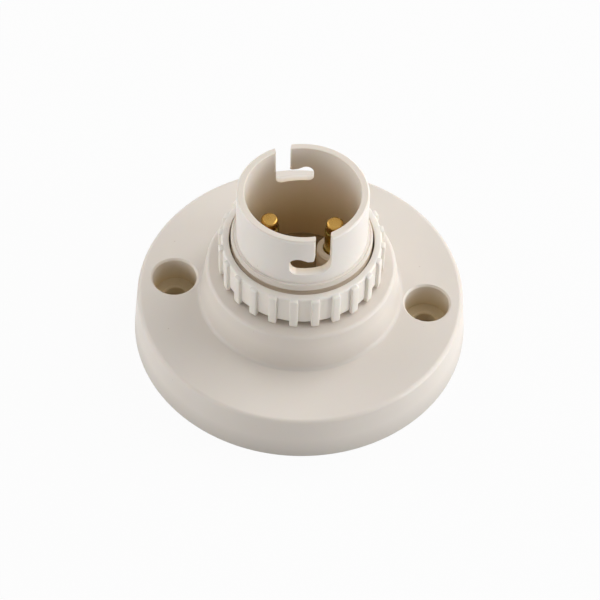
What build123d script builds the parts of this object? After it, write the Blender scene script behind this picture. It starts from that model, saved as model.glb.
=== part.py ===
"""Batten lampholder with a two-pin bayonet socket, a round mounting base and a ribbed shade ring.

Frame: the origin is the centre of the base's back face, +Z runs along the lamp's axis away from the
surface that the base is fixed to, and X runs through the two fixing holes. All lengths are in mm.
"""
from build123d import *
import os
from math import cos, radians, sin, sqrt, tan

# Mounting base
BASE_RADIUS = 33.4  # at the back face
BASE_HEIGHT = 10.0  # back face to the flat top of the plate
BASE_LEAN = 0.9  # how far the side leans in towards the top
BASE_EDGE = 0.9  # rounding of the plate's upper edge
BASE_WALL = 2.2  # plate, side wall and pedestal wall
FIXING_SPACING = 50.8  # between the two fixing holes
FIXING_HOLE_R = 2.25
FIXING_HEAD_R = 4.45  # counterbore for the screw head
FIXING_HEAD_DEPTH = 5.9
FIXING_BOSS_WALL = 1.5
FIXING_LIP = 0.35  # bevel of the counterbore's mouth
STIFFENER_WALL = 1.4
STIFFENER_LIFT = 3.0  # height of the stiffeners' free edge above the back face
STIFFENER_ANGLES = (45, 90, 135, 225, 270, 315)

# Pedestal that carries the socket
PEDESTAL_TOP_R = 18.7
PEDESTAL_LEAN = 1.2  # how much wider the foot is than the top
PEDESTAL_RISE = 8.35  # plate to shoulder
PEDESTAL_FOOT_FILLET = 0.9
PEDESTAL_EDGE = 0.8

# Holder body: bayonet barrel, shade thread and clamped flange
BORE_R = 11.15
BARREL_WALL = 1.55
BARREL_RISE = 11.7  # thread top to rim
RIM_EDGE = 0.38
MOUTH_EDGE = 0.12  # bevel at the rim's inner edge
LAND_CLEARANCE = 0.55  # plunger tips to the foot of the bore's true cylinder
BORE_TAPER = 0.25  # how much the moulded bore widens below that cylinder
THREAD_R = 13.8  # crest of the shade thread
THREAD_RISE = 9.35  # shoulder to thread top
THREAD_LEAD = 0.95  # height of the lead-in at the thread's top
THREAD_LEAD_IN = 0.3
THREAD_PITCH = 2.0
THREAD_TURNS = 4
THREAD_DEPTH = 0.55
THREAD_CREST = 0.6  # width of the flat between two roots
THREAD_FLANK = 0.35  # height of a root's sloped side
FOOT_CHANNEL = 0.2  # depth of the fine channel round the barrel's foot
FOOT_LIP = 0.15
FLANGE_GAP = 0.6  # flange to pedestal wall
FLANGE_THICK = 2.0

# Bayonet slots, measured at the bore and down from the rim
SLOT_WIDTH = 3.0
SLOT_TURN = 23.0  # angle from the entry to the lock
SLOT_PULL = 6.0  # angle from the slot's middle to the line along which its side core was pulled
SLOT_DRAFT = 11.0  # the core's flare, in degrees
SLOT_DEPTH = 9.2
SLOT_TONGUE = 5.9
SLOT_NOTCH = 5.2
SLOT_LEG_RISE = 0.1
SLOT_CORNER = 1.8
SLOT_END_ROUND = 1.4
TONGUE_CORNER = 1.0
ENTRY_CORNER = 0.6  # where the tongue meets the entry
ENTRY_BEVEL = 0.3  # along the entry's two edges at the bore
TONGUE_FLAT = 1.5  # width of the tongue's lowest edge
NOTCH_RAMP = 1.4  # length of the slope from the tongue up to the notch

# Shade ring
RING_GAP = 0.35  # between the thread crests and the ring's bore
RING_WALL = 1.5
RING_SEAT_GAP = 0.25  # ribs to shoulder
RING_HEIGHT = 7.3
RING_EDGE = 0.35
RING_UNDERCUT = 0.55  # how far the ribs reach below the wall
RIB_COUNT = 24
RIB_WIDTH = 1.65
RIB_DEPTH = 0.65
RIB_BEVEL = 0.5
RIB_PHASE = 1.5  # angle of the first rib from the X axis

# Contact block, turned a little against the fixing holes
INTERIOR_TURN = 3.0
BLOCK_GAP = 0.4  # block to pedestal wall
BLOCK_THICK = 2.6
POST_R = 3.35
POST_EDGE = 0.3
BARRIER_WALL = 1.6  # insulating wall between the two terminals
BARRIER_LIFT = 2.6  # height of its free edge above the back face
BARRIER_GAP = 1.3  # barrier's ends to the block screws' heads
CHEEK_WALL = 1.3  # walls that hold each terminal
CHEEK_DROP = 4.4

# Plungers and springs
PLUNGER_SPACING = 12.6
PLUNGER_DROP = 8.3  # rim to plunger tip at rest
PLUNGER_TRAVEL = 5.5
PLUNGER_R = 1.9
PLUNGER_HEAD_R = 1.7
PLUNGER_HEAD = 2.0  # height of the slimmer head
PLUNGER_TIP_ROUND = 0.5
COLLAR_R = 2.3
COLLAR_HEIGHT = 1.2
PILOT_R = 1.35  # peg that centres the spring under the collar
PILOT_LENGTH = 1.4
SLIDE_GAP = 0.25
COLLAR_GAP = 0.05  # collar to the lip that stops it
TIP_OVER_POST = 1.9  # how far a fully pressed tip still stands above its post
POST_LIP = 1.2
SPRING_WIRE_R = 0.22
SPRING_WIRE_SIDES = 6  # flats on the wire, which stays hidden in its post
SPRING_TURNS = 4
SPRING_SIDE_GAP = 0.25
SPRING_END_GAP = 0.1

# Terminals and screws
TERMINAL_WIDTH = 6.2
TERMINAL_LENGTH = 7.0
TERMINAL_LIFT = 3.8  # height of the terminal's lower face above the back face
TERMINAL_EDGE = 0.4
TERMINAL_SPIGOT = 1.1
TERMINAL_FIT = 0.08
WIRE_HOLE_R = 1.7
WIRE_HOLE_DROP = 2.9  # block to wire hole centre
CLAMP_SCREW_R = 1.45
CLAMP_HEAD_R = 2.5
CLAMP_HEAD = 1.5
CLAMP_STANDOFF = 0.9  # head to terminal
CLAMP_REACH = 0.5  # tip inside the wire hole
BLOCK_SCREW_R = 1.1
BLOCK_SCREW_INSET = 2.2  # pedestal wall to screw axis
BLOCK_SCREW_END = 0.3  # screw tip to the end of its hole
BLOCK_HEAD_R = 2.0
BLOCK_HEAD = 1.4
BLOCK_BOSS_WALL = 0.8
BLOCK_EAR = 1.2  # thickness of the block under each boss
SCREW_FIT = 0.06
SLOT_CUT_WIDTH = 0.8
SLOT_CUT_DEPTH = 0.8
LOCATING_GAP = 0.2  # holder body in the base, and its flange around the screw bosses

# Levels along the axis
SHOULDER_Z = BASE_HEIGHT + PEDESTAL_RISE
FLANGE_TOP_Z = SHOULDER_Z - BASE_WALL
FLOOR_Z = FLANGE_TOP_Z - FLANGE_THICK
BLOCK_UNDER_Z = FLOOR_Z - BLOCK_THICK
BOSS_FOOT_Z = BLOCK_UNDER_Z + BLOCK_EAR
THREAD_TOP_Z = SHOULDER_Z + THREAD_RISE
RIM_Z = THREAD_TOP_Z + BARREL_RISE
TIP_Z = RIM_Z - PLUNGER_DROP
POST_TOP_Z = TIP_Z - PLUNGER_TRAVEL - TIP_OVER_POST
COLLAR_TOP_Z = POST_TOP_Z - POST_LIP - COLLAR_GAP
COLLAR_UNDER_Z = COLLAR_TOP_Z - COLLAR_HEIGHT
SPRING_SEAT_Z = BLOCK_UNDER_Z + TERMINAL_SPIGOT
RING_FOOT_Z = SHOULDER_Z + RING_SEAT_GAP
RING_TOP_Z = RING_FOOT_Z + RING_HEIGHT
WIRE_HOLE_Z = BLOCK_UNDER_Z - WIRE_HOLE_DROP

# Radii that follow from a fit
PEDESTAL_FOOT_R = PEDESTAL_TOP_R + PEDESTAL_LEAN
PEDESTAL_INNER_R = PEDESTAL_TOP_R - BASE_WALL
FLANGE_R = PEDESTAL_INNER_R - FLANGE_GAP
BLOCK_R = PEDESTAL_INNER_R - BLOCK_GAP
BLOCK_SCREW_ORBIT = PEDESTAL_INNER_R - BLOCK_SCREW_INSET
BARREL_R = BORE_R + BARREL_WALL
BODY_HOLE_R = THREAD_R + LOCATING_GAP
RING_BORE_R = THREAD_R + RING_GAP
RING_R = RING_BORE_R + RING_WALL
RIB_R = RING_R + RIB_DEPTH
POST_MOUTH_R = PLUNGER_R + SLIDE_GAP
POST_BORE_R = COLLAR_R + SLIDE_GAP
BLOCK_BOSS_R = BLOCK_SCREW_R + BLOCK_BOSS_WALL
SPRING_R = POST_BORE_R - SPRING_SIDE_GAP - SPRING_WIRE_R

OVERLAP = 0.5  # how far features reach into the piece that they grow from
INTERIOR = Rot(0, 0, INTERIOR_TURN)
SIDES = {"left": -1, "right": 1}


def profile(points, rounds=(), bevels=()):
    """Closed outline of (radius, height) points, with (index, size) roundings or bevels at some corners."""
    outline = make_face(Polyline(*points, close=True))
    for finish, corners in ((fillet, rounds), (chamfer, bevels)):
        for index, size in corners:
            spot = Vector(*points[index])
            corner = min(outline.vertices(), key=lambda v: (Vector(v.X, v.Y) - spot).length)
            outline = finish(corner, size)
    return outline


def turned(points, rounds=(), bevels=()):
    """Solid of revolution about the lamp's axis."""
    return revolve(Plane.XZ * profile(points, rounds, bevels), Axis.Z)


def rod(radius, bottom, top, x=0.0, y=0.0):
    """Round bar along Z between two heights."""
    return Pos(x, y, bottom) * extrude(Circle(radius), top - bottom)


def block_between(x_range, y_range, z_range):
    """Rectangular block given by its limits along each axis."""
    limits = (x_range, y_range, z_range)
    size = [high - low for low, high in limits]
    middle = [(high + low) / 2 for low, high in limits]
    return Pos(*middle) * Box(*size)


def base_shell():
    """Turned form of the base: drafted rim, plate, pedestal and shoulder, hollow from behind."""
    plate_under = BASE_HEIGHT - BASE_WALL
    points = [
        (BASE_RADIUS, 0),
        (BASE_RADIUS - BASE_LEAN, BASE_HEIGHT),
        (PEDESTAL_FOOT_R, BASE_HEIGHT),
        (PEDESTAL_TOP_R, SHOULDER_Z),
        (BODY_HOLE_R, SHOULDER_Z),
        (BODY_HOLE_R, FLANGE_TOP_Z),
        (PEDESTAL_INNER_R, FLANGE_TOP_Z),
        (PEDESTAL_FOOT_R - BASE_WALL, plate_under),
        (BASE_RADIUS - BASE_LEAN - BASE_WALL, plate_under),
        (BASE_RADIUS - BASE_WALL, 0),
    ]
    return turned(points, [(1, BASE_EDGE), (2, PEDESTAL_FOOT_FILLET), (3, PEDESTAL_EDGE)])


def stiffener(angle):
    """Radial web under the plate, from the pedestal's foot to the rim."""
    inner = PEDESTAL_FOOT_R - BASE_WALL + OVERLAP
    outer = BASE_RADIUS - BASE_WALL - BASE_LEAN / 2 + OVERLAP
    under = BASE_HEIGHT - BASE_WALL + OVERLAP
    half = STIFFENER_WALL / 2
    return Rot(0, 0, angle) * block_between((inner, outer), (-half, half), (STIFFENER_LIFT, under))


def fixing_hole(x):
    """Cutter for a counterbored screw hole, with bevels at its mouth and at the edge of its floor."""
    floor = BASE_HEIGHT - FIXING_HEAD_DEPTH
    mouth = FIXING_HEAD_R + FIXING_LIP
    points = [
        (0, -OVERLAP),
        (FIXING_HOLE_R, -OVERLAP),
        (FIXING_HOLE_R, floor - FIXING_LIP),
        (FIXING_HOLE_R + FIXING_LIP, floor),
        (FIXING_HEAD_R, floor),
        (FIXING_HEAD_R, BASE_HEIGHT - FIXING_LIP),
        (mouth, BASE_HEIGHT),
        (mouth, BASE_HEIGHT + OVERLAP),
        (0, BASE_HEIGHT + OVERLAP),
    ]
    return Pos(x, 0, 0) * turned(points)


def block_screw_boss(y):
    """Boss under the shoulder for one block screw, kept out of the hole for the holder body."""
    boss = rod(BLOCK_BOSS_R, BOSS_FOOT_Z, FLANGE_TOP_Z + OVERLAP, 0, y)
    return boss - rod(BODY_HOLE_R, FLANGE_TOP_Z, SHOULDER_Z)


def make_base():
    """One moulding: shell, fixing bosses, stiffeners and the bosses that take the block screws."""
    base = base_shell()
    boss_r = FIXING_HEAD_R + FIXING_BOSS_WALL
    for x in (-FIXING_SPACING / 2, FIXING_SPACING / 2):
        base += rod(boss_r, 0, BASE_HEIGHT - OVERLAP, x)
    for angle in STIFFENER_ANGLES:
        base += stiffener(angle)
    for x in (-FIXING_SPACING / 2, FIXING_SPACING / 2):
        base -= fixing_hole(x)
    for y in (-BLOCK_SCREW_ORBIT, BLOCK_SCREW_ORBIT):
        base += INTERIOR * block_screw_boss(y)
    for y in (-BLOCK_SCREW_ORBIT, BLOCK_SCREW_ORBIT):
        base -= INTERIOR * rod(BLOCK_SCREW_R + SCREW_FIT, BOSS_FOOT_Z - OVERLAP, FLANGE_TOP_Z, 0, y)
    return base


def entry_bevel(edge, away, tongue):
    """Cutter for the bevel along one edge of a slot's entry, at the bore."""
    slope = tan(radians(SLOT_DRAFT))
    depth = sqrt(BORE_R**2 - edge**2)
    x = edge - away * slope * (BORE_R - depth)
    wall = (x + away * slope * ENTRY_BEVEL, -(depth + ENTRY_BEVEL))
    bore_x = x + away * ENTRY_BEVEL
    bore = (bore_x, -sqrt(BORE_R**2 - bore_x**2))
    inside = (x - away * ENTRY_BEVEL, -(depth - 3 * ENTRY_BEVEL))
    face = make_face(Polyline(wall, bore, inside, close=True))
    low = tongue + ENTRY_CORNER
    return extrude(Pos(0, 0, low) * face, RIM_Z + OVERLAP - low, dir=(0, 0, 1))


def bayonet_slot():
    """Cutter for one J-slot: straight entry, leg and locking notch, with the flare of a side core."""
    half_turn = radians(SLOT_TURN / 2)
    pull = radians(SLOT_PULL)
    middle_r = (BORE_R + BARREL_R) / 2
    entry = middle_r * sin(half_turn + pull)
    lock = middle_r * sin(pull - half_turn)
    near = entry - SLOT_WIDTH / 2
    far = entry + SLOT_WIDTH / 2
    end = lock - SLOT_WIDTH / 2
    low = RIM_Z - SLOT_DEPTH
    tongue = RIM_Z - SLOT_TONGUE
    notch = RIM_Z - SLOT_NOTCH
    above = RIM_Z + SLOT_WIDTH
    points = [
        (far, above),
        (far, low),
        (end, low + SLOT_LEG_RISE),
        (end, notch),
        (near - TONGUE_FLAT - NOTCH_RAMP, notch),
        (near - TONGUE_FLAT, tongue),
        (near, tongue),
        (near, above),
    ]
    rounds = [
        (1, SLOT_CORNER),
        (2, SLOT_END_ROUND),
        (3, SLOT_END_ROUND),
        (4, TONGUE_CORNER),
        (5, TONGUE_CORNER),
        (6, ENTRY_CORNER),
    ]
    outward = radians(90) + half_turn - pull
    direction = Vector(cos(outward), sin(outward), 0)
    side = Plane(
        origin=direction * BORE_R,
        x_dir=(-sin(outward), cos(outward), 0),
        z_dir=direction,
    )
    outline = side * profile(points, rounds)
    flare = extrude(outline, BARREL_WALL + OVERLAP, taper=-SLOT_DRAFT)
    slot = flare + extrude(outline, BARREL_WALL + OVERLAP, dir=-direction, taper=SLOT_DRAFT)
    for edge, away in ((near, -1), (far, 1)):
        slot += Plane(origin=(0, 0, 0), x_dir=side.x_dir, z_dir=(0, 0, 1)) * entry_bevel(edge, away, tongue)
    return slot


def thread_roots():
    """Outline of the shade thread from its lowest root up, with each turn drawn as a ring."""
    root_r = THREAD_R - THREAD_DEPTH
    points = []
    for turn in reversed(range(THREAD_TURNS)):
        top = THREAD_TOP_Z - THREAD_LEAD - turn * THREAD_PITCH
        foot = top - THREAD_PITCH + THREAD_CREST
        points += [
            (THREAD_R, foot),
            (root_r, foot + THREAD_FLANK),
            (root_r, top - THREAD_FLANK),
            (THREAD_R, top),
        ]
    return points


def make_holder_body():
    """Bayonet barrel, shade thread and flange in one moulding, with a true cylinder where the cap fits."""
    lead_r = THREAD_R - THREAD_LEAD_IN
    points = [
        (BORE_R, RIM_Z),
        (BORE_R, TIP_Z + LAND_CLEARANCE),
        (BORE_R + BORE_TAPER, FLOOR_Z),
        (FLANGE_R, FLOOR_Z),
        (FLANGE_R, FLANGE_TOP_Z),
        (THREAD_R, FLANGE_TOP_Z),
        *thread_roots(),
        (lead_r, THREAD_TOP_Z),
        (lead_r - FOOT_LIP, THREAD_TOP_Z),
        (lead_r - FOOT_LIP - FOOT_CHANNEL, THREAD_TOP_Z - FOOT_CHANNEL),
        (BARREL_R, THREAD_TOP_Z - FOOT_CHANNEL),
        (BARREL_R, RIM_Z),
    ]
    body = turned(points, bevels=[(0, MOUTH_EDGE), (len(points) - 1, RIM_EDGE)])
    notch_r = BLOCK_BOSS_R + LOCATING_GAP
    for y in (-BLOCK_SCREW_ORBIT, BLOCK_SCREW_ORBIT):
        body -= rod(notch_r, FLOOR_Z - OVERLAP, FLANGE_TOP_Z, 0, y)
    slot = bayonet_slot()
    body -= slot
    body -= Rot(0, 0, 180) * slot
    return INTERIOR * body


def ring_rib():
    """One grip rib along X, bevelled at its upper end."""
    points = [
        (RING_R - OVERLAP, RING_FOOT_Z),
        (RIB_R, RING_FOOT_Z),
        (RIB_R, RING_TOP_Z - RING_EDGE - RIB_BEVEL),
        (RIB_R - RIB_BEVEL, RING_TOP_Z - RING_EDGE),
        (RING_R - OVERLAP, RING_TOP_Z - RING_EDGE),
    ]
    return extrude(Plane.XZ * profile(points), RIB_WIDTH / 2, both=True)


def make_shade_ring():
    """Ribbed ring that screws down the thread to hold a shade against the shoulder."""
    wall_foot = RING_FOOT_Z + RING_UNDERCUT
    points = [
        (RING_BORE_R, wall_foot),
        (RING_R, wall_foot),
        (RING_R, RING_TOP_Z),
        (RING_BORE_R, RING_TOP_Z),
    ]
    ring = turned(points, bevels=[(2, RING_EDGE), (3, RING_EDGE)])
    rib = ring_rib()
    for index in range(RIB_COUNT):
        ring += Rot(0, 0, RIB_PHASE + index * 360 / RIB_COUNT) * rib
    return ring


def contact_post(x):
    """Tubular post that guides one plunger."""
    return Pos(x, 0, 0) * turned(
        [(0, FLOOR_Z - OVERLAP), (POST_R, FLOOR_Z - OVERLAP), (POST_R, POST_TOP_Z), (0, POST_TOP_Z)],
        bevels=[(2, POST_EDGE)],
    )


def terminal_cheeks(x):
    """Two walls under the block that grip one terminal between them."""
    inner = TERMINAL_WIDTH / 2 + TERMINAL_FIT
    half = TERMINAL_LENGTH / 2
    heights = (BLOCK_UNDER_Z - CHEEK_DROP, BLOCK_UNDER_Z + OVERLAP)
    cheek = block_between((inner, inner + CHEEK_WALL), (-half, half), heights)
    return [Pos(x, 0, 0) * cheek, Pos(x, 0, 0) * Rot(0, 0, 180) * cheek]


def make_contact_block():
    """Insulating moulding with two plunger posts, terminal cheeks and a barrier wall."""
    block = rod(BLOCK_R, BLOCK_UNDER_Z, FLOOR_Z)
    half_wall = BARRIER_WALL / 2
    half_length = BLOCK_SCREW_ORBIT - BLOCK_HEAD_R - BARRIER_GAP
    barrier = ((-half_wall, half_wall), (-half_length, half_length), (BARRIER_LIFT, BLOCK_UNDER_Z + OVERLAP))
    block += block_between(*barrier)
    for side in SIDES.values():
        x = side * PLUNGER_SPACING / 2
        block += contact_post(x)
        for cheek in terminal_cheeks(x):
            block += cheek
        block -= rod(POST_BORE_R, BLOCK_UNDER_Z - OVERLAP, POST_TOP_Z - POST_LIP, x)
        block -= rod(POST_MOUTH_R, POST_TOP_Z - POST_LIP - OVERLAP, POST_TOP_Z + OVERLAP, x)
    for y in (-BLOCK_SCREW_ORBIT, BLOCK_SCREW_ORBIT):
        block -= rod(BLOCK_BOSS_R + LOCATING_GAP, BOSS_FOOT_Z, FLOOR_Z + OVERLAP, 0, y)
        block -= rod(BLOCK_SCREW_R + LOCATING_GAP, BLOCK_UNDER_Z - OVERLAP, FLOOR_Z + OVERLAP, 0, y)
    return INTERIOR * block


def make_plunger(x):
    """Turned contact plunger: rounded head, sloped shoulder, shank, stop collar and spring peg."""
    head_under = TIP_Z - PLUNGER_HEAD
    shoulder = PLUNGER_R - PLUNGER_HEAD_R
    points = [
        (0, TIP_Z),
        (PLUNGER_HEAD_R, TIP_Z),
        (PLUNGER_HEAD_R, head_under),
        (PLUNGER_R, head_under - shoulder),
        (PLUNGER_R, COLLAR_TOP_Z),
        (COLLAR_R, COLLAR_TOP_Z),
        (COLLAR_R, COLLAR_UNDER_Z),
        (PILOT_R, COLLAR_UNDER_Z),
        (PILOT_R, COLLAR_UNDER_Z - PILOT_LENGTH),
        (0, COLLAR_UNDER_Z - PILOT_LENGTH),
    ]
    return INTERIOR * Pos(x, 0, 0) * turned(points, [(1, PLUNGER_TIP_ROUND)])


def make_spring(x):
    """Compression spring between a terminal and its plunger's collar."""
    bottom = SPRING_SEAT_Z + SPRING_END_GAP + SPRING_WIRE_R
    length = COLLAR_UNDER_Z - SPRING_END_GAP - SPRING_WIRE_R - bottom
    path = Helix(length / SPRING_TURNS, length, SPRING_R)
    wire = Plane(origin=path @ 0, z_dir=path % 0) * RegularPolygon(SPRING_WIRE_R, SPRING_WIRE_SIDES)
    return INTERIOR * Pos(x, 0, bottom) * sweep(wire, path, is_frenet=True)


def make_terminal(x):
    """Brass pillar terminal with a cross hole for the wire and a tapped hole from below."""
    body = block_between(
        (-TERMINAL_WIDTH / 2, TERMINAL_WIDTH / 2),
        (-TERMINAL_LENGTH / 2, TERMINAL_LENGTH / 2),
        (TERMINAL_LIFT, BLOCK_UNDER_Z),
    )
    body = chamfer(body.edges().filter_by(Axis.Z), TERMINAL_EDGE)
    body += rod(POST_BORE_R - TERMINAL_FIT, BLOCK_UNDER_Z - OVERLAP, SPRING_SEAT_Z)
    wire_hole = extrude(Plane.XZ * Pos(0, WIRE_HOLE_Z) * Circle(WIRE_HOLE_R), TERMINAL_LENGTH, both=True)
    body -= wire_hole
    body -= rod(CLAMP_SCREW_R + SCREW_FIT, TERMINAL_LIFT - OVERLAP, WIRE_HOLE_Z)
    return INTERIOR * Pos(x, 0, 0) * body


def slotted_screw(shank_r, tip_z, head_r, seat_z, head_height):
    """Screw with its head down: shank, round head below the seat, and a driver slot."""
    screw = rod(shank_r, seat_z - OVERLAP, tip_z)
    head_under = seat_z - head_height
    screw += rod(head_r, head_under, seat_z)
    half = SLOT_CUT_WIDTH / 2
    cut_heights = (head_under - OVERLAP, head_under + SLOT_CUT_DEPTH)
    return screw - block_between((-head_r, head_r), (-half, half), cut_heights)


def make_terminal_screw(x):
    """Wire clamping screw, driven from behind."""
    seat = TERMINAL_LIFT - CLAMP_STANDOFF
    tip = WIRE_HOLE_Z - WIRE_HOLE_R + CLAMP_REACH
    return INTERIOR * Pos(x, 0, 0) * slotted_screw(CLAMP_SCREW_R, tip, CLAMP_HEAD_R, seat, CLAMP_HEAD)


def make_block_screws():
    """The two screws that clamp the contact block and the holder body's flange to the base."""
    tip = FLANGE_TOP_Z - BLOCK_SCREW_END
    screw = slotted_screw(BLOCK_SCREW_R, tip, BLOCK_HEAD_R, BLOCK_UNDER_Z, BLOCK_HEAD)
    places = (-BLOCK_SCREW_ORBIT, BLOCK_SCREW_ORBIT)
    return Compound(children=[INTERIOR * Pos(0, y, 0) * screw for y in places])


def make_pieces():
    """Every piece of the lampholder by name."""
    pieces = {
        "base": make_base(),
        "holder_body": make_holder_body(),
        "shade_ring": make_shade_ring(),
        "contact_block": make_contact_block(),
        "block_screws": make_block_screws(),
    }
    for name, side in SIDES.items():
        x = side * PLUNGER_SPACING / 2
        pieces[f"plunger_{name}"] = make_plunger(x)
        pieces[f"spring_{name}"] = make_spring(x)
        pieces[f"terminal_{name}"] = make_terminal(x)
        pieces[f"terminal_screw_{name}"] = make_terminal_screw(x)
    return pieces


os.makedirs("parts", exist_ok=True)
for piece_name, piece in make_pieces().items():
    export_step(piece, f"parts/{piece_name}.step")
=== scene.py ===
"""Studio scene of a batten lampholder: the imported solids, dressed as moulded plastic, brass and steel.

Lengths are in metres, in the frame of the solids: the origin is the centre of the base's back face, +Z is the
lamp's axis, and X runs through the two fixing holes. The ribbed shade ring, the slotted screws and the coil
springs are grown by Geometry Nodes and stand in for their solids. The other pieces are the solids themselves.
"""
import logging
import math
from abc import ABC, abstractmethod
from collections.abc import Mapping
from dataclasses import dataclass, field
from enum import Enum
from typing import ClassVar, Optional, Union

import bpy
from mathutils import Matrix, Vector


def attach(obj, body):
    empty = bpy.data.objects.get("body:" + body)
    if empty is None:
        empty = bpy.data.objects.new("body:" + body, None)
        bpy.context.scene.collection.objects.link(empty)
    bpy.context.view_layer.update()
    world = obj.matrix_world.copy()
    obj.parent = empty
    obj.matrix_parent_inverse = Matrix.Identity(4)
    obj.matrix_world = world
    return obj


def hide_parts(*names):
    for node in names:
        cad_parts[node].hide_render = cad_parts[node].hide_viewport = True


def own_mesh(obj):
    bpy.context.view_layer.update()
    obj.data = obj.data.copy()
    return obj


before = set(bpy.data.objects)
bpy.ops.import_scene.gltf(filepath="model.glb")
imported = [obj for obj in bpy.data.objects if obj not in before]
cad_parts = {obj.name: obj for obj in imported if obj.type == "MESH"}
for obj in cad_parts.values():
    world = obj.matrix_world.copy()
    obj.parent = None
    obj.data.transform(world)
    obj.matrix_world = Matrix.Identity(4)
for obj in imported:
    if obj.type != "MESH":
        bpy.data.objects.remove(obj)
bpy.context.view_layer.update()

LOG = logging.getLogger("lampholder")
MM = 0.001

Colour = tuple[float, float, float]
Socket = bpy.types.NodeSocket
Sockets = Mapping[Union[str, int], Socket]
Feed = Union[Socket, float, int, bool, tuple[float, ...]]
Feeds = Mapping[Union[str, int], Feed]

WHITE: Colour = (1.0, 1.0, 1.0)


def opaque(colour: Colour) -> tuple[float, ...]:
    """Gives a colour full cover, as colour sockets take it."""
    return (*colour, 1.0)


class NodeSheet:
    """Lays nodes into one tree and joins them."""

    def __init__(self, tree: bpy.types.NodeTree) -> None:
        """Keeps the tree that the nodes go into."""
        self.tree = tree

    def feed(self, socket: Socket, value: Feed) -> None:
        """Gives an input socket its value.

        Args:
            socket: the input.
            value: another node's output, or a fixed value.
        """
        if isinstance(value, bpy.types.NodeSocket):
            self.tree.links.new(value, socket)
        else:
            socket.default_value = value

    def fill(self, node: bpy.types.Node, feeds: Feeds) -> None:
        """Gives a node's inputs their values.

        Args:
            node: the node.
            feeds: what goes into its inputs, by name or by place.
        """
        for label, value in feeds.items():
            self.feed(node.inputs[label], value)

    def add(self, kind: str, feeds: Feeds, **settings: object) -> bpy.types.Node:
        """Adds a node.

        Args:
            kind: the node's type.
            feeds: what goes into its inputs, by name or by place.
            settings: the node's own options.

        Returns:
            The node.
        """
        node = self.tree.nodes.new(kind)
        for label, value in settings.items():
            setattr(node, label, value)
        self.fill(node, feeds)
        return node

    def source(self, kind: str) -> Sockets:
        """Adds a node that takes nothing in, and gives its outputs."""
        return self.tree.nodes.new(kind).outputs

    def math(self, operation: str, *terms: Feed) -> Socket:
        """Adds a sum of plain numbers and gives its result."""
        return self.add("ShaderNodeMath", dict(enumerate(terms)), operation=operation).outputs[0]

    def vector(self, operation: str, *terms: Feed) -> Socket:
        """Adds a sum of vectors whose result is a vector, and gives it."""
        return self.add("ShaderNodeVectorMath", dict(enumerate(terms)), operation=operation).outputs["Vector"]

    def join(self, x: Feed, y: Feed, z: Feed) -> Socket:
        """Makes a vector of three numbers."""
        return self.add("ShaderNodeCombineXYZ", {"X": x, "Y": y, "Z": z}).outputs[0]

    def split(self, vector: Socket) -> Sockets:
        """Takes a vector apart into its X, Y and Z."""
        return self.add("ShaderNodeSeparateXYZ", {"Vector": vector}).outputs

    def mix(self, amount: Feed, first: Feed, second: Feed) -> Socket:
        """Mixes two colours, with more of the second as the amount grows."""
        feeds = {"Factor": amount, "A": first, "B": second}
        return self.add("ShaderNodeMix", feeds, data_type="RGBA").outputs["Result"]

    def seen(self) -> Socket:
        """Marks the rays that show a surface to the camera: straight, in a mirror or through glass.

        Returns:
            1 on those rays and 0 on the ones that only carry light.
        """
        path = self.source("ShaderNodeLightPath")
        mirrored = self.math("MAXIMUM", path["Is Camera Ray"], path["Is Glossy Ray"])
        return self.math("MAXIMUM", mirrored, path["Is Transmission Ray"])


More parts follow.
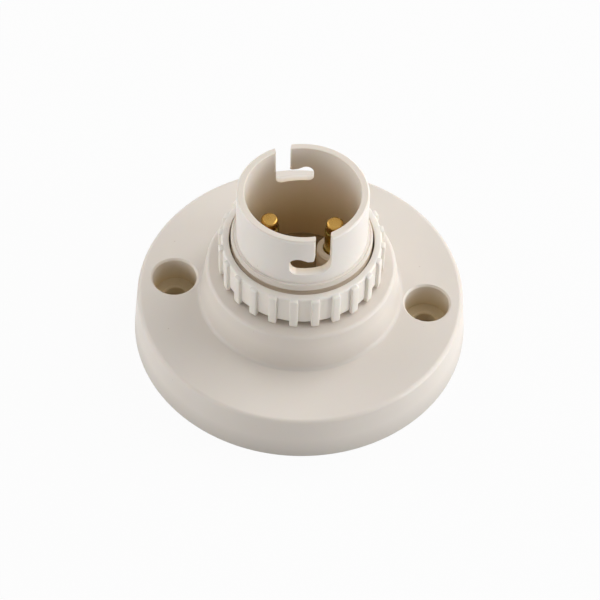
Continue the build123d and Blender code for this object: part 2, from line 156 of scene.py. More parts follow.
class ShapeSheet(NodeSheet):
    """Lays the nodes that make a shape. What it calls the axis is Z."""

    def spot(self) -> Socket:
        """Gives the place of each point that a value is worked out for."""
        return self.source("GeometryNodeInputPosition")[0]

    def choice(self, test: Socket, if_not: Feed, if_so: Feed) -> Socket:
        """Gives one of two numbers, by a test."""
        feeds = {"Switch": test, "False": if_not, "True": if_so}
        return self.add("GeometryNodeSwitch", feeds, input_type="FLOAT").outputs[0]

    def circle(self, steps: int, radius: Feed) -> Socket:
        """Draws a circle about the axis."""
        return self.add("GeometryNodeCurvePrimitiveCircle", {"Resolution": steps, "Radius": radius}).outputs[0]

    def oblong(self, width: Feed, height: Feed, steps: int, rounding: Feed) -> Socket:
        """Draws a rectangle with rounded corners.

        Args:
            width: its size along X.
            height: its size along Y.
            steps: the steps of a rounded corner.
            rounding: the radius of its corners.

        Returns:
            The curve.
        """
        sharp = self.add("GeometryNodeCurvePrimitiveQuadrilateral", {"Width": width, "Height": height})
        feeds = {"Curve": sharp.outputs[0], "Count": steps, "Radius": rounding}
        return self.add("GeometryNodeFilletCurve", feeds, mode="POLY").outputs[0]

    def helix(self, steps: int, radius: Feed, length: Feed, turns: Feed) -> Socket:
        """Draws a right-hand helix about the axis.

        Args:
            steps: the steps of one turn.
            radius: its radius.
            length: how far it rises.
            turns: how often it goes round.

        Returns:
            The curve.
        """
        feeds = {
            "Resolution": steps,
            "Rotations": turns,
            "Start Radius": radius,
            "End Radius": radius,
            "Height": length,
            "Reverse": True,
        }
        return self.add("GeometryNodeCurveSpiral", feeds).outputs[0]

    def sweep(self, path: Socket, section: Socket, capped: bool = False) -> Socket:
        """Sweeps a section along a path."""
        feeds = {"Curve": path, "Profile Curve": section, "Fill Caps": capped}
        return self.add("GeometryNodeCurveToMesh", feeds).outputs[0]

    def turn(self, angle: Feed) -> Socket:
        """Makes a rotation about the axis."""
        return self.add("FunctionNodeEulerToRotation", {0: self.join(0.0, 0.0, angle)}).outputs[0]

    def move(self, shape: Socket, place: Feed, rotation: Optional[Socket] = None) -> Socket:
        """Turns a shape, if a rotation is given, and moves it.

        Args:
            shape: the shape.
            place: how far it moves.
            rotation: how it turns.

        Returns:
            The moved shape.
        """
        feeds = {"Geometry": shape, "Translation": place}
        if rotation is not None:
            feeds["Rotation"] = rotation
        return self.add("GeometryNodeTransform", feeds).outputs[0]

    def lift(self, shape: Socket, height: Feed) -> Socket:
        """Moves a shape along the axis."""
        return self.move(shape, self.join(0.0, 0.0, height))

    def smooth(self, shape: Socket, faces: Feed = True) -> Socket:
        """Shades a shape smooth, all over or on the chosen faces."""
        return self.add("GeometryNodeSetShadeSmooth", {"Geometry": shape, "Selection": faces}).outputs[0]

    def unite(self, *shapes: Socket) -> Socket:
        """Puts shapes together as one.

        Args:
            shapes: the shapes, in order.

        Returns:
            The whole.
        """
        whole = self.add("GeometryNodeJoinGeometry", {})
        for shape in shapes:
            self.feed(whole.inputs[0], shape)
        return whole.outputs[0]


class Port(Enum):
    """What passes through a socket of a shader group."""

    COLOUR = "NodeSocketColor"
    VALUE = "NodeSocketFloat"


class Effect(ABC):
    """Shader group that finishes share, each with values of its own."""

    name: ClassVar[str]
    takes: ClassVar[dict[str, Port]]
    gives: ClassVar[dict[str, Port]]

    @abstractmethod
    def lay(self, sheet: NodeSheet, given: Sockets, place: Socket) -> dict[str, Socket]:
        """Lays the group's nodes.

        Args:
            sheet: the group's nodes.
            given: its inputs.
            place: the point on the piece.

        Returns:
            What it gives, by name.
        """

    def group(self) -> bpy.types.NodeTree:
        """Builds the group once.

        Returns:
            The node group.
        """
        if self.name in bpy.data.node_groups:
            return bpy.data.node_groups[self.name]
        tree = bpy.data.node_groups.new(self.name, "ShaderNodeTree")
        for side, ports in (("INPUT", self.takes), ("OUTPUT", self.gives)):
            for label, port in ports.items():
                tree.interface.new_socket(label, in_out=side, socket_type=port.value)
        sheet = NodeSheet(tree)
        given = sheet.source("NodeGroupInput")
        place = sheet.source("ShaderNodeTexCoord")["Object"]
        sheet.add("NodeGroupOutput", self.lay(sheet, given, place))
        return tree

    def use(self, sheet: NodeSheet, feeds: Feeds) -> Sockets:
        """Places the group among a material's nodes and gives its outputs."""
        return sheet.add("ShaderNodeGroup", feeds, node_tree=self.group()).outputs


@dataclass(frozen=True)
class MouldSkin(Effect):
    """Skin of moulded plastic: a faint cloudy tint, uneven gloss and a fine spark-eroded grain."""

    name: ClassVar[str] = "mould_skin"
    takes: ClassVar[dict[str, Port]] = {
        "Tint": Port.COLOUR,
        "Shade": Port.COLOUR,
        "Cloud Scale": Port.VALUE,
        "Cloud": Port.VALUE,
        "Roughness": Port.VALUE,
        "Uneven": Port.VALUE,
    }
    gives: ClassVar[dict[str, Port]] = {"Colour": Port.COLOUR, "Roughness": Port.VALUE, "Height": Port.VALUE}
    cloud_detail: float = 3.0
    cloud_breakup: float = 0.55
    cloud_middle: float = 0.5
    grain_scale: float = 2600.0
    grain_detail: float = 2.0

    def lay(self, sheet: NodeSheet, given: Sockets, place: Socket) -> dict[str, Socket]:
        """Lays the group's nodes.

        Args:
            sheet: the group's nodes.
            given: its inputs.
            place: the point on the piece.

        Returns:
            What it gives, by name.
        """
        cloud = sheet.add(
            "ShaderNodeTexNoise",
            {
                "Vector": place,
                "Scale": given["Cloud Scale"],
                "Detail": self.cloud_detail,
                "Roughness": self.cloud_breakup,
            },
        ).outputs["Fac"]
        grain = sheet.add(
            "ShaderNodeTexNoise",
            {"Vector": place, "Scale": self.grain_scale, "Detail": self.grain_detail},
        ).outputs["Fac"]
        amount = sheet.math("MULTIPLY", cloud, given["Cloud"])
        centred = sheet.math("SUBTRACT", cloud, self.cloud_middle)
        return {
            "Colour": sheet.mix(amount, given["Tint"], given["Shade"]),
            "Roughness": sheet.math("MULTIPLY_ADD", centred, given["Uneven"], given["Roughness"]),
            "Height": grain,
        }


@dataclass(frozen=True)
class PaintedZoneShading(Effect):
    """Painted light and shade in a round zone of a piece, deeper towards one height."""

    name: ClassVar[str] = "painted_zone_shading"
    takes: ClassVar[dict[str, Port]] = {
        "Colour": Port.COLOUR,
        "PaintedShading": Port.COLOUR,
        "Axis": Port.VALUE,
        "Inner Radius": Port.VALUE,
        "Outer Radius": Port.VALUE,
        "Unshaded Height": Port.VALUE,
        "Full Shade Height": Port.VALUE,
        "Lowest Height": Port.VALUE,
    }
    gives: ClassVar[dict[str, Port]] = {"Colour": Port.COLOUR}

    def lay(self, sheet: NodeSheet, given: Sockets, place: Socket) -> dict[str, Socket]:
        """Lays the group's nodes.

        Args:
            sheet: the group's nodes.
            given: its inputs.
            place: the point on the piece.

        Returns:
            What it gives, by name.
        """
        parts = sheet.split(place)
        # Without the sign of X the zone shows on both sides, as the pairs of recesses and plungers need.
        aside = sheet.math("SUBTRACT", sheet.math("ABSOLUTE", parts["X"]), given["Axis"])
        across = sheet.math("MULTIPLY", parts["Y"], parts["Y"])
        radius = sheet.math("SQRT", sheet.math("MULTIPLY_ADD", aside, aside, across))
        inside = sheet.add(
            "ShaderNodeMapRange",
            {"Value": radius, "From Min": given["Outer Radius"], "From Max": given["Inner Radius"]},
            interpolation_type="SMOOTHSTEP",
        )
        deep = sheet.add(
            "ShaderNodeMapRange",
            {"Value": parts["Z"], "From Min": given["Unshaded Height"], "From Max": given["Full Shade Height"]},
        )
        reached = sheet.math("GREATER_THAN", parts["Z"], given["Lowest Height"])
        graded = sheet.math("MULTIPLY", inside.outputs["Result"], deep.outputs["Result"])
        amount = sheet.math("MULTIPLY", graded, reached)
        return {"Colour": sheet.mix(amount, given["Colour"], given["PaintedShading"])}


@dataclass(frozen=True)
class Specks(Effect):
    """Small dark specks scattered in a plastic."""

    name: ClassVar[str] = "specks"
    takes: ClassVar[dict[str, Port]] = {
        "Colour": Port.COLOUR,
        "Speck": Port.COLOUR,
        "Scale": Port.VALUE,
        "Radius": Port.VALUE,
        "Share": Port.VALUE,
    }
    gives: ClassVar[dict[str, Port]] = {"Colour": Port.COLOUR}

    def lay(self, sheet: NodeSheet, given: Sockets, place: Socket) -> dict[str, Socket]:
        """Lays the group's nodes.

        Args:
            sheet: the group's nodes.
            given: its inputs.
            place: the point on the piece.

        Returns:
            What it gives, by name.
        """
        cell = sheet.add("ShaderNodeTexVoronoi", {"Vector": place, "Scale": given["Scale"]}).outputs
        near = sheet.add(
            "ShaderNodeMapRange",
            {"Value": cell["Distance"], "From Min": given["Radius"], "From Max": 0.0},
            interpolation_type="SMOOTHSTEP",
        )
        lot = sheet.add("ShaderNodeSeparateColor", {"Color": cell["Color"]}).outputs["Red"]
        kept = sheet.math("LESS_THAN", lot, given["Share"])
        amount = sheet.math("MULTIPLY", near.outputs["Result"], kept)
        return {"Colour": sheet.mix(amount, given["Colour"], given["Speck"])}


@dataclass(frozen=True)
class PaintedShading:
    """Painted light and shade of a round zone, and where it sits.

    The painted tone is full within the inner radius and fades out at the outer one, or the other way round where
    the inner one is the larger. It deepens from the unpainted height to the full one, and stops at the lowest.
    """

    colour: Colour
    inner: float
    outer: float
    clean: float
    shade_painted: float
    lowest: float = 0.0
    axis: float = 0.0


class Zone(Enum):
    """Zones with painted light and shade: darker hollows, creases, gaps and feet, and lighter plunger shanks."""

    # Painted shade: the rim's top goes darker and warmer towards the bore.
    RIM = PaintedShading((0.83, 0.755, 0.665), inner=12.3 * MM, outer=12.7 * MM, clean=38.9 * MM, shade_painted=39.3 * MM)
    # Painted shade: the bore goes browner and darker with depth, for light bounced inside the cavity.
    BARREL = PaintedShading((0.88, 0.685, 0.405), inner=11.2 * MM, outer=12.7 * MM, clean=39.4 * MM, shade_painted=18.5 * MM)
    # Painted shade: a dark brown line in the thread root just above the shade ring.
    SHADE_THREAD = PaintedShading((0.64, 0.53, 0.41), inner=13.3 * MM, outer=12.9 * MM, clean=26.6 * MM, shade_painted=26.2 * MM)
    # Painted shade: the thread's lead-in bead under the barrel is darkened a little.
    THREAD_LEAD = PaintedShading((0.72, 0.65, 0.57), inner=13.35 * MM, outer=13.2 * MM, clean=27.9 * MM, shade_painted=27.6 * MM)
    # Painted shade: the pedestal's shoulder under the ring's wall is darkened.
    SHOULDER = PaintedShading((0.75, 0.685, 0.61), inner=15.4 * MM, outer=16.0 * MM, clean=17.0 * MM, shade_painted=18.3 * MM)
    # Painted shade: the base's side darkens towards the floor.
    BASE_FOOT = PaintedShading((0.66, 0.61, 0.55), inner=32.6 * MM, outer=32.2 * MM, clean=4.5 * MM, shade_painted=0.0)
    # Painted shade: the crease at the pedestal's foot is darkened.
    PEDESTAL_FOOT = PaintedShading(
        (0.67, 0.615, 0.555),
        inner=20.2 * MM,
        outer=20.8 * MM,
        clean=15.0 * MM,
        shade_painted=10.3 * MM,
        lowest=9.9 * MM,
    )
    # Painted shade: the fixing-hole recesses go darker and browner with depth.
    SCREW_RECESS = PaintedShading(
        (0.69, 0.57, 0.38),
        inner=4.55 * MM,
        outer=4.85 * MM,
        clean=10.6 * MM,
        shade_painted=4.1 * MM,
        lowest=0.5 * MM,
        axis=25.4 * MM,
    )
    # Painted shade: the contact block's well deep in the barrel goes dark brown.
    WELL_FLOOR = PaintedShading(
        (0.40, 0.28, 0.14),
        inner=20.0 * MM,
        outer=21.0 * MM,
        clean=22.0 * MM,
        shade_painted=15.0 * MM,
        lowest=14.0 * MM,
    )
    # Painted light: the plunger shanks get a lighter, greener brass than the heads.
    PLUNGER_SHANK = PaintedShading(
        (0.60, 0.43, 0.10),
        inner=3.0 * MM,
        outer=3.5 * MM,
        clean=29.0 * MM,
        shade_painted=28.9 * MM,
        axis=6.3 * MM,
    )
    # Painted shadow: a dark band just under each plunger head.
    PLUNGER_NECK = PaintedShading(
        (0.20, 0.15, 0.04),
        inner=3.0 * MM,
        outer=3.5 * MM,
        clean=29.2 * MM,
        shade_painted=29.05 * MM,
        lowest=28.88 * MM,
        axis=6.3 * MM,
    )


class ZonedFinish(ABC):
    """Finish that can take painted light and shade in zones."""

    name: str
    zones: tuple[Zone, ...]

    @abstractmethod
    def coat(self, sheet: NodeSheet, shader: bpy.types.Node) -> None:
        """Lays the finish's nodes.

        Args:
            sheet: the material's nodes.
            shader: its shader.
        """

    def material(self) -> bpy.types.Material:
        """Builds the finish as a node material.

        Returns:
            The material.
        """
        made = bpy.data.materials.new(self.name)
        made.use_nodes = True
        self.coat(NodeSheet(made.node_tree), made.node_tree.nodes["Principled BSDF"])
        return made

    def shade_painted(self, sheet: NodeSheet, colour: Socket) -> Socket:
        """Paints light and shade into the finish's zones.

        Args:
            sheet: the material's nodes.
            colour: the colour without the painted light and shade.

        Returns:
            The colour with the painted light and shade.
        """
        for zone in self.zones:
            shading = zone.value
            feeds = {
                "Colour": colour,
                "PaintedShading": opaque(shading.colour),
                "Axis": shading.axis,
                "Inner Radius": shading.inner,
                "Outer Radius": shading.outer,
                "Unshaded Height": shading.clean,
                "Full Shade Height": shading.shade_painted,
                "Lowest Height": shading.lowest,
            }
            colour = PaintedZoneShading().use(sheet, feeds)["Colour"]
        return colour


@dataclass(frozen=True)
class PlasticFinish(ZonedFinish):
    """Satin moulded plastic with a few dark specks."""

    name: str
    tint: Colour
    shade: Colour
    roughness: float
    zones: tuple[Zone, ...] = ()
    refraction: float = 1.5
    bleed: float = 0.15
    bleed_depth: float = 0.8 * MM
    bleed_spread: Colour = (1.0, 0.55, 0.25)
    cloud: float = 0.5
    cloud_scale: float = 60.0
    uneven: float = 0.08
    grain: float = 0.12
    grain_depth: float = 0.02 * MM
    speck: Colour = (0.30, 0.21, 0.13)
    speck_scale: float = 400.0
    speck_radius: float = 0.05
    speck_share: float = 0.3

    def coat(self, sheet: NodeSheet, shader: bpy.types.Node) -> None:
        """Lays the finish's nodes.

        Args:
            sheet: the material's nodes.
            shader: its shader.
        """
        skin = MouldSkin().use(
            sheet,
            {
                "Tint": opaque(self.tint),
                "Shade": opaque(self.shade),
                "Cloud Scale": self.cloud_scale,
                "Cloud": self.cloud,
                "Roughness": self.roughness,
                "Uneven": self.uneven,
            },
        )
        specked = Specks().use(
            sheet,
            {
                "Colour": skin["Colour"],
                "Speck": opaque(self.speck),
                "Scale": self.speck_scale,
                "Radius": self.speck_radius,
                "Share": self.speck_share,
            },
        )
        bump = sheet.add(
            "ShaderNodeBump",
            {"Strength": self.grain, "Distance": self.grain_depth, "Height": skin["Height"]},
        )
        sheet.fill(
            shader,
            {
                "IOR": self.refraction,
                "Subsurface Weight": self.bleed,
                "Subsurface Scale": self.bleed_depth,
                "Subsurface Radius": self.bleed_spread,
                "Base Color": self.shade_painted(sheet, specked["Colour"]),
                "Roughness": skin["Roughness"],
                "Normal": bump.outputs["Normal"],
            },
        )


@dataclass(frozen=True)
class MetalFinish(ZonedFinish):
    """Turned or drawn metal with tarnished spots and faint tool rings across the turning axis."""

    name: str
    tint: Colour
    tarnish: Colour
    roughness: float
    zones: tuple[Zone, ...] = ()
    spot_scale: float = 700.0
    spot_detail: float = 4.0
    shine: float = 0.06
    dullness: float = 0.1
    ring_scale: float = 9000.0
    ring: float = 0.08
    ring_depth: float = 0.01 * MM

    def coat(self, sheet: NodeSheet, shader: bpy.types.Node) -> None:
        """Lays the finish's nodes.

        Args:
            sheet: the material's nodes.
            shader: its shader.
        """
        place = sheet.source("ShaderNodeTexCoord")["Object"]
        spots = sheet.add(
            "ShaderNodeTexNoise",
            {"Vector": place, "Scale": self.spot_scale, "Detail": self.spot_detail},
        ).outputs["Fac"]
        tint = sheet.mix(spots, opaque(self.tint), opaque(self.tarnish))
        gloss = sheet.add(
            "ShaderNodeMapRange",
            {"Value": spots, "To Min": self.roughness - self.shine, "To Max": self.roughness + self.dullness},
        )
        rings = sheet.add("ShaderNodeTexWave", {"Vector": place, "Scale": self.ring_scale}, bands_direction="Z")
        bump = sheet.add(
            "ShaderNodeBump",
            {"Strength": self.ring, "Distance": self.ring_depth, "Height": rings.outputs["Fac"]},
        )
        sheet.fill(
            shader,
            {
                "Metallic": 1.0,
                "Base Color": self.shade_painted(sheet, tint),
                "Roughness": gloss.outputs["Result"],
                "Normal": bump.outputs["Normal"],
            },
        )


class Finish(Enum):
    """The finishes of the lampholder."""

    BASE = PlasticFinish(
        "base_white",
        tint=(0.80, 0.737, 0.667),
        shade=(0.77, 0.705, 0.635),
        roughness=0.45,
        zones=(Zone.SCREW_RECESS, Zone.SHOULDER, Zone.PEDESTAL_FOOT, Zone.BASE_FOOT),
    )
    RING = PlasticFinish("ring_white", tint=(0.91, 0.853, 0.78), shade=(0.885, 0.828, 0.755), roughness=0.40)
    SOCKET = PlasticFinish(
        "socket_white",
        tint=(0.90, 0.85, 0.79),
        shade=(0.88, 0.828, 0.765),
        roughness=0.36,
        zones=(Zone.BARREL, Zone.RIM, Zone.THREAD_LEAD, Zone.SHADE_THREAD),
    )
    BLOCK = PlasticFinish(
        "block_cream",
        tint=(0.78, 0.70, 0.595),
        shade=(0.73, 0.65, 0.545),
        roughness=0.5,
        zones=(Zone.WELL_FLOOR,),
    )
    CONTACT = MetalFinish(
        "contact_brass",
        tint=(0.50, 0.30, 0.08),
        tarnish=(0.38, 0.21, 0.05),
        roughness=0.24,
        zones=(Zone.PLUNGER_SHANK, Zone.PLUNGER_NECK),
    )
    TERMINAL = MetalFinish("terminal_brass", tint=(0.72, 0.53, 0.24), tarnish=(0.60, 0.43, 0.19), roughness=0.34)
    SCREW = MetalFinish("plated_steel", tint=(0.60, 0.59, 0.56), tarnish=(0.50, 0.49, 0.46), roughness=0.3)
    SPRING = MetalFinish("spring_wire", tint=(0.50, 0.50, 0.49), tarnish=(0.40, 0.40, 0.39), roughness=0.3)


class Wardrobe:
    """Makes each finish's material once."""

    def __init__(self) -> None:
        """Starts empty."""
        self.made: dict[Finish, bpy.types.Material] = {}

    def take(self, finish: Finish) -> bpy.types.Material:
        """Gives the material of a finish.

        Args:
            finish: the finish.

        Returns:
            Its material.
        """
        if finish not in self.made:
            self.made[finish] = finish.value.material()
        return self.made[finish]

    def dress(self, name: str, finish: Finish) -> None:
        """Puts a finish on one of the solids.

        Args:
            name: the node's name.
            finish: its finish.
        """
        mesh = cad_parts[name].data
        mesh.materials.clear()
        mesh.materials.append(self.take(finish))
        LOG.info("%s wears %s", name, finish.name)


class GrownPiece(ABC):
    """A piece whose shape is grown by a Geometry Nodes tree."""

    name: str

    @abstractmethod
    def measures(self) -> dict[str, Union[float, int]]:
        """Lists the tree's named inputs and their values."""

    @abstractmethod
    def grow(self, sheet: ShapeSheet, size: Sockets) -> Socket:
        """Lays the tree.

        Args:
            sheet: the tree's nodes.
            size: the tree's named inputs.

        Returns:
            The shape.
        """

    def build(self, material: bpy.types.Material) -> bpy.types.Object:
        """Grows the piece and keeps it as a plain mesh.

        Args:
            material: what it is made of.

        Returns:
            The piece.
        """
        tree = bpy.data.node_groups.new(self.name + "_shape", "GeometryNodeTree")
        values: dict[str, Union[float, int]] = {}
        for label, value in self.measures().items():
            kind = "NodeSocketInt" if isinstance(value, int) else "NodeSocketFloat"
            port = tree.interface.new_socket(label, in_out="INPUT", socket_type=kind)
            values[port.identifier] = value
        tree.interface.new_socket("Geometry", in_out="OUTPUT", socket_type="NodeSocketGeometry")
        sheet = ShapeSheet(tree)
        shape = self.grow(sheet, sheet.source("NodeGroupInput"))
        plain = sheet.add("GeometryNodeRealizeInstances", {"Geometry": shape})
        dressed = sheet.add("GeometryNodeSetMaterial", {"Geometry": plain.outputs[0], "Material": material})
        sheet.add("NodeGroupOutput", {"Geometry": dressed.outputs[0]})

        piece = bpy.data.objects.new(self.name, bpy.data.meshes.new(self.name + "_seed"))
        bpy.context.scene.collection.objects.link(piece)
        grower = piece.modifiers.new("shape", "NODES")
        grower.node_group = tree
        for identifier, value in values.items():
            grower[identifier] = value
        graph = bpy.context.evaluated_depsgraph_get()
        mesh = bpy.data.meshes.new_from_object(piece.evaluated_get(graph))
        piece.modifiers.remove(grower)
        piece.data = mesh
        mesh.name = self.name
        LOG.info("%s has %d faces", self.name, len(mesh.polygons))
        return piece


@dataclass
class ShadeRing(GrownPiece):
    """Ring on the shade thread: a round-edged wall with a row of soft ribs outside."""

    name: str = "ribbed_ring"
    bore_radius: float = 14.15 * MM
    wall: float = 1.5 * MM
    wall_foot: float = 19.15 * MM
    wall_steps: int = 192
    top: float = 26.0 * MM
    edge: float = 0.45 * MM
    bore_edge: float = 0.12 * MM
    foot_edge: float = 0.65 * MM
    edge_steps: int = 6
    section_cuts: int = 1
    rib_count: int = 24
    rib_width: float = 1.65 * MM
    rib_reach: float = 16.3 * MM
    rib_root: float = 0.5 * MM
    rib_foot: float = 18.6 * MM
    rib_drop: float = 0.06 * MM
    rib_slope: float = 0.12 * MM
    rib_round: float = 0.26 * MM
    rib_turn: float = 1.5
    rib_points: int = 8
    rib_crowding: int = 2

    def measures(self) -> dict[str, Union[float, int]]:
        """Lists the tree's named inputs and their values.

        Returns:
            The values by name.
        """
        rib_inner = self.bore_radius + self.wall - self.rib_root
        rib_top = self.top - self.rib_drop
        return {
            "Wall Radius": self.bore_radius + self.wall / 2,
            "Wall": self.wall,
            "Wall Height": self.top - self.wall_foot,
            "Wall Middle": (self.top + self.wall_foot) / 2,
            "Edge": self.edge,
            "Bore Edge": self.bore_edge,
            "Foot Edge": self.foot_edge,
            "Rib Count": self.rib_count,
            "Rib Radius": (rib_inner + self.rib_reach) / 2,
            "Rib Half Depth": (self.rib_reach - rib_inner) / 2,
            "Rib Half Width": self.rib_width / 2,
            "Rib Half Height": (rib_top - self.rib_foot) / 2,
            "Rib Middle": (rib_top + self.rib_foot) / 2,
            "Rib Slope": self.rib_slope,
            "Rib Round": self.rib_round,
            "Rib Turn": math.radians(self.rib_turn),
        }

    def grow(self, sheet: ShapeSheet, size: Sockets) -> Socket:
        """Lays the tree: a section swept round a circle, joined with the ribs.

        Args:
            sheet: the tree's nodes.
            size: the tree's named inputs.

        Returns:
            The ring.
        """
        # Swept round the circle, the section's +X points outwards and its +Y points down.
        corner = sheet.split(sheet.spot())
        at_foot = sheet.math("GREATER_THAN", corner["Y"], 0.0)
        outer = sheet.choice(at_foot, size["Edge"], size["Foot Edge"])
        outside = sheet.math("GREATER_THAN", corner["X"], 0.0)
        rounding = sheet.choice(outside, size["Bore Edge"], outer)
        section = sheet.oblong(size["Wall"], size["Wall Height"], self.edge_steps, rounding)
        even = sheet.add("GeometryNodeSubdivideCurve", {"Curve": section, "Cuts": self.section_cuts})
        wall = sheet.sweep(sheet.circle(self.wall_steps, size["Wall Radius"]), even.outputs[0])
        raised = sheet.lift(wall, size["Wall Middle"])
        return sheet.smooth(sheet.unite(raised, self.ribs(sheet, size)))

    def ribs(self, sheet: ShapeSheet, size: Sockets) -> Socket:
        """Lays the row of ribs.

        Args:
            sheet: the tree's nodes.
            size: the tree's named inputs.

        Returns:
            The ribs.
        """
        points = sheet.add("GeometryNodePoints", {"Count": size["Rib Count"]})
        order = sheet.source("GeometryNodeInputIndex")[0]
        step = sheet.math("DIVIDE", 2 * math.pi, size["Rib Count"])
        spin = sheet.turn(sheet.math("MULTIPLY_ADD", order, step, size["Rib Turn"]))
        return sheet.add(
            "GeometryNodeInstanceOnPoints",
            {"Points": points.outputs[0], "Instance": self.rib(sheet, size), "Rotation": spin},
        ).outputs[0]

    def rib(self, sheet: ShapeSheet, size: Sockets) -> Socket:
        """Lays one rib: a bar with rounded edges whose face leans in at its top end.

        Args:
            sheet: the tree's nodes.
            size: the tree's named inputs.

        Returns:
            The rib.
        """
        cuts = {"Vertices " + axis: self.rib_points for axis in "XYZ"}
        bar = sheet.add("GeometryNodeMeshCube", {"Size": (2.0, 2.0, 2.0), **cuts})
        quarter = (math.pi / 2,) * 3
        # The vertices are drawn towards the edges, where the rounding needs them.
        crowded = sheet.spot()
        for _ in range(self.rib_crowding):
            crowded = sheet.vector("SINE", sheet.vector("MULTIPLY", crowded, quarter))
        half = sheet.join(size["Rib Half Depth"], size["Rib Half Width"], size["Rib Half Height"])
        outer = sheet.vector("MULTIPLY", crowded, half)
        margin = sheet.join(size["Rib Round"], size["Rib Round"], size["Rib Round"])
        limit = sheet.vector("SUBTRACT", half, margin)
        opposite = sheet.vector("MULTIPLY", limit, (-1.0, -1.0, -1.0))
        core = sheet.vector("MAXIMUM", sheet.vector("MINIMUM", outer, limit), opposite)
        away = sheet.vector("NORMALIZE", sheet.vector("SUBTRACT", outer, core))
        soft = sheet.vector("MULTIPLY_ADD", away, margin, core)
        shoulder = sheet.math("SUBTRACT", size["Rib Half Height"], size["Rib Slope"])
        lean = sheet.math("MAXIMUM", sheet.math("SUBTRACT", sheet.split(soft)["Z"], shoulder), 0.0)
        out = sheet.math("SUBTRACT", size["Rib Radius"], lean)
        placed = sheet.vector("ADD", soft, sheet.join(out, 0.0, size["Rib Middle"]))
        return sheet.add("GeometryNodeSetPosition", {"Geometry": bar.outputs[0], "Position": placed}).outputs[0]


@dataclass(frozen=True)
class AxisPlace:
    """Where the upright axis of a turned or wound piece stands."""

    x: float
    y: float


@dataclass(frozen=True)
class ScrewSize:
    """Sizes of a screw that is driven from behind, so that its shank points up."""

    head_radius: float
    head_foot: float
    head_top: float
    shank_radius: float
    tip: float
    pitch: float


@dataclass
class SlottedScrew(GrownPiece):
    """Cheese-head screw: a round-edged head with a slot, and a threaded shank."""

    name: str
    screw: ScrewSize
    places: tuple[AxisPlace, ...]
    slot_turn: float = 20.0
    slot_width: float = 0.8 * MM
    slot_depth: float = 0.75 * MM
    blade_reach: float = 3.0
    edge: float = 0.3 * MM
    edge_steps: int = 4
    head_steps: int = 48
    weld: float = 0.005 * MM
    core_steps: int = 32
    thread_depth: float = 0.14 * MM
    thread_steps: int = 24
    ridge_sides: int = 4

    def measures(self) -> dict[str, Union[float, int]]:
        """Lists the tree's named inputs and their values.

        Returns:
            The values by name.
        """
        screw = self.screw
        return {
            "Head Radius": screw.head_radius,
            "Head Height": screw.head_top - screw.head_foot,
            "Head Foot": screw.head_foot,
            "Head Top": screw.head_top,
            "Edge": self.edge,
            "Slot Width": self.slot_width,
            "Slot Depth": self.slot_depth,
            "Slot Turn": math.radians(self.slot_turn),
            "Core Radius": screw.shank_radius - self.thread_depth,
            "Thread Depth": self.thread_depth,
            "Pitch": screw.pitch,
            "Shank": screw.tip - screw.head_top,
        }

    def grow(self, sheet: ShapeSheet, size: Sockets) -> Socket:
        """Lays the tree: a slotted head, a core and a thread, set at every place.

        Args:
            sheet: the tree's nodes.
            size: the tree's named inputs.

        Returns:
            The screws.
        """
        whole = sheet.unite(self.head(sheet, size), self.core(sheet, size), self.thread(sheet, size))
        return sheet.unite(*(sheet.move(whole, (place.x, place.y, 0.0)) for place in self.places))

    def head(self, sheet: ShapeSheet, size: Sockets) -> Socket:
        """Lays the head: a section with a round outer edge, turned about the axis and slotted.

        Args:
            sheet: the tree's nodes.
            size: the tree's named inputs.

        Returns:
            The head.
        """
        outside = sheet.math("GREATER_THAN", sheet.split(sheet.spot())["X"], 0.0)
        rounding = sheet.math("MULTIPLY", outside, size["Edge"])
        section = sheet.oblong(size["Head Radius"], size["Head Height"], self.edge_steps, rounding)
        middle = sheet.math("DIVIDE", size["Head Radius"], 2.0)
        turned = sheet.sweep(sheet.circle(self.head_steps, middle), section)
        closed = sheet.add("GeometryNodeMergeByDistance", {"Geometry": turned, "Distance": self.weld})
        # The blade is longer than the head is wide, and half of its depth is below the head.
        long = sheet.math("MULTIPLY", size["Head Radius"], self.blade_reach)
        deep = sheet.math("MULTIPLY", size["Slot Depth"], 2.0)
        blade = sheet.add("GeometryNodeMeshCube", {"Size": sheet.join(long, size["Slot Width"], deep)})
        low = sheet.join(0.0, 0.0, sheet.math("DIVIDE", size["Head Height"], -2.0))
        cutter = sheet.move(blade.outputs[0], low, sheet.turn(size["Slot Turn"]))
        slotted = sheet.add(
            "GeometryNodeMeshBoolean",
            {"Mesh 1": sheet.smooth(closed.outputs[0]), "Mesh 2": cutter},
            operation="DIFFERENCE",
            solver="EXACT",
        )
        rise = sheet.math("DIVIDE", sheet.math("ADD", size["Head Foot"], size["Head Top"]), 2.0)
        return sheet.lift(slotted.outputs["Mesh"], rise)

    def core(self, sheet: ShapeSheet, size: Sockets) -> Socket:
        """Lays the shank's core.

        Args:
            sheet: the tree's nodes.
            size: the tree's named inputs.

        Returns:
            The core.
        """
        rod = sheet.add(
            "GeometryNodeMeshCylinder",
            {"Vertices": self.core_steps, "Radius": size["Core Radius"], "Depth": size["Shank"]},
        )
        middle = sheet.math("MULTIPLY_ADD", size["Shank"], 0.5, size["Head Top"])
        return sheet.smooth(sheet.lift(rod.outputs["Mesh"], middle), rod.outputs["Side"])

    def thread(self, sheet: ShapeSheet, size: Sockets) -> Socket:
        """Lays the thread: a small ridge along a helix, half a pitch short at both ends.

        Args:
            sheet: the tree's nodes.
            size: the tree's named inputs.

        Returns:
            The thread.
        """
        length = sheet.math("SUBTRACT", size["Shank"], size["Pitch"])
        turns = sheet.math("DIVIDE", length, size["Pitch"])
        helix = sheet.helix(self.thread_steps, size["Core Radius"], length, turns)
        ridge = sheet.circle(self.ridge_sides, size["Thread Depth"])
        start = sheet.math("MULTIPLY_ADD", size["Pitch"], 0.5, size["Head Top"])
        return sheet.lift(sheet.sweep(helix, ridge, capped=True), start)


